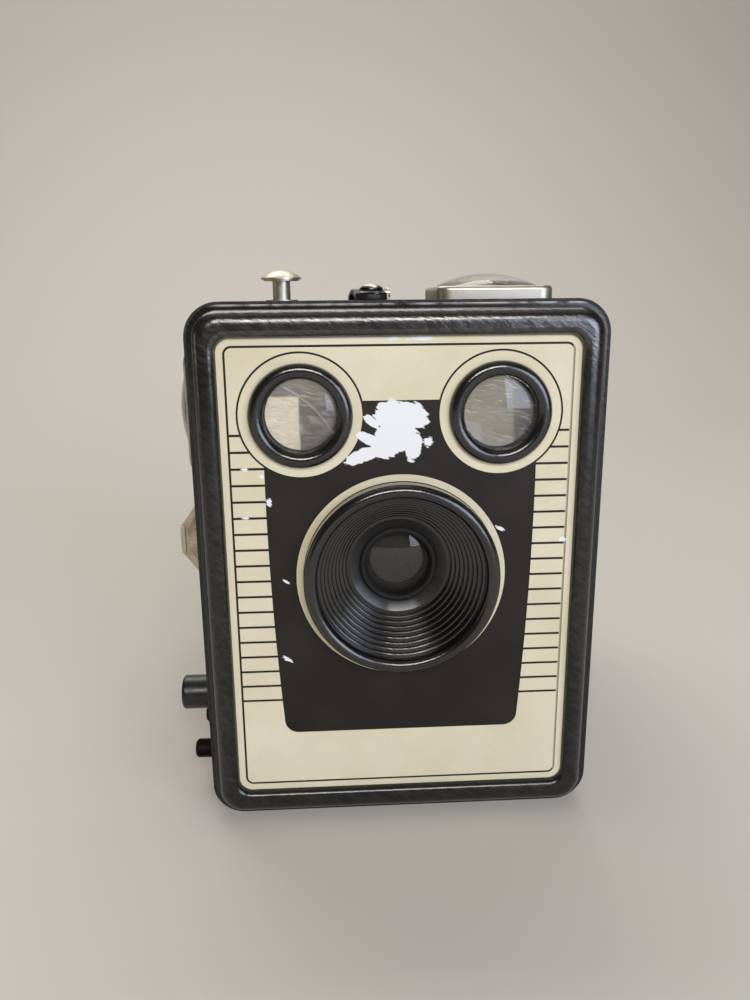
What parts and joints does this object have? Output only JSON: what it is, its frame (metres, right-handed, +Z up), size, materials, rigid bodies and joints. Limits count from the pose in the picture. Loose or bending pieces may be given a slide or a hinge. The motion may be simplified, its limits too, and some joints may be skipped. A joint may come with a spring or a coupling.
{
  "type": "box camera",
  "caption": "Box camera for roll film: covered case, striped front plate, ribbed lens hood, brilliant finders, plunger release, pull-out winder and drop-down back.",
  "frame": {"origin": "middle of the case's base, half way between its front rim and its rear edge", "axes": "+Z up, the lens looks along -Y, +X is the picture's right"},
  "size_m": [0.0934, 0.1217, 0.1186],
  "materials": {
    "leatherette": "fine pebble grain",
    "black_enamel": "gloss",
    "cream_enamel": "satin, with black printed pattern",
    "black_crackle": "satin",
    "clear_glass": "polished",
    "silvered_glass": "polished",
    "nickel": "satin nickel",
    "steel": "plain",
    "black_plastic": "satin",
    "contact_brass": "plain",
    "red_filter": "clear red",
    "strap_leather": "smooth"
  },
  "bodies": {
    "camera": {"leatherette_wrap": "leatherette", "case_shell": "black_enamel", "front_frame": "black_enamel", "finder_bezels": "black_enamel", "hinge_leaf": "black_enamel", "strap_collars": "black_enamel", "faceplate": "cream_enamel", "lens_hood": "black_crackle", "lens_ring": "black_crackle", "finder_housing_side": "black_crackle", "finder_housing_top": "black_crackle", "mechanism_cover": "black_crackle", "film_cone": "black_crackle", "film_gate": "black_crackle", "carrier_side_left": "black_crackle", "carrier_side_right": "black_crackle", "lens": "clear_glass", "finder_objectives": "clear_glass", "finder_eye_side": "clear_glass", "finder_eye_top": "clear_glass", "finder_mirrors": "silvered_glass", "finder_frame_side": "nickel", "finder_frame_top": "nickel", "plunger_guide": "nickel", "latch_bracket": "nickel", "strap_studs": "nickel", "flash_pins": "nickel", "mechanism_plate": "steel", "spacer_posts": "steel", "blade_pivot": "steel", "return_spring": "steel", "close_up_bush": "steel", "spool_pivots": "steel", "winding_bush": "steel", "hinge_pin": "steel", "tripod_bushes": "steel", "flash_bushes": "black_plastic", "contact_strips": "contact_brass", "strap": "strap_leather"},
    "release": {"plunger": "nickel", "release_slide": "steel"},
    "shutter": {"shutter_blade": "black_crackle"},
    "time_control": {"time_slide": "nickel"},
    "close_up": {"close_up_plate": "steel", "close_up_rod": "steel", "close_up_knob": "black_plastic", "close_up_lens": "clear_glass"},
    "winding_pull": {"winding_sleeve": "steel"},
    "winding_turn": {"winding_knob": "black_plastic", "winding_shaft": "steel"},
    "spool": {"take_up_spool": "black_crackle"},
    "roller_top": {"guide_roller_top": "steel"},
    "roller_bottom": {"guide_roller_bottom": "steel"},
    "back": {"back_door": "black_enamel", "back_leather": "leatherette", "red_window": "red_filter", "window_frame": "black_enamel", "latch_stud": "nickel"},
    "window_cover": {"window_slide": "black_enamel"},
    "latch": {"latch_leaf": "nickel"}
  },
  "joints": [
    {"name": "plunger_press", "type": "slide", "parent": "camera", "child": "release", "axis": [0, 0, -1], "range_m": [0, 0.0035], "stiffness_N_per_m": 300, "springref_m": -0.002, "deforming": ["return_spring"]},
    {"name": "shutter_turn", "type": "hinge", "parent": "camera", "child": "shutter", "pos_m": [0.0045, -0.0392, 0.07], "axis": [0, -1, 0], "range_deg": [0, 56.1]},
    {"name": "time_slide", "type": "slide", "parent": "camera", "child": "time_control", "axis": [-1, 0, 0], "range_m": [0, 0.005]},
    {"name": "close_up_pull", "type": "slide", "parent": "camera", "child": "close_up", "axis": [-1, 0, 0], "range_m": [0, 0.012]},
    {"name": "knob_pull", "type": "slide", "parent": "camera", "child": "winding_pull", "axis": [-1, 0, 0], "range_m": [0, 0.0065]},
    {"name": "knob_turn", "type": "hinge", "parent": "winding_pull", "child": "winding_turn", "pos_m": [-0.04, 0.01115, 0.099], "axis": [-1, 0, 0], "continuous": true},
    {"name": "spool_turn", "type": "hinge", "parent": "camera", "child": "spool", "pos_m": [0, 0.01115, 0.099], "axis": [-1, 0, 0], "continuous": true},
    {"name": "roller_top_turn", "type": "hinge", "parent": "camera", "child": "roller_top", "pos_m": [0, 0.04665, 0.10375], "axis": [1, 0, 0], "continuous": true},
    {"name": "roller_bottom_turn", "type": "hinge", "parent": "camera", "child": "roller_bottom", "pos_m": [0, 0.04665, 0.00875], "axis": [1, 0, 0], "continuous": true},
    {"name": "back_hinge", "type": "hinge", "parent": "camera", "child": "back", "pos_m": [0, 0.05615, 0.003], "axis": [-1, 0, 0], "range_deg": [0, 80]},
    {"name": "window_cover_slide", "type": "slide", "parent": "back", "child": "window_cover", "axis": [1, 0, 0], "range_m": [0, 0.013]},
    {"name": "latch_lift", "type": "hinge", "parent": "camera", "child": "latch", "pos_m": [0, 0.04285, 0.1145], "axis": [1, 0, 0], "range_deg": [0, 70]}
  ],
  "couplings": [
    {"joint": "shutter_turn", "follows": "plunger_press", "rad_per_m": 279.2},
    {"joint": "spool_turn", "follows": "knob_turn", "ratio": 1}
  ]
}
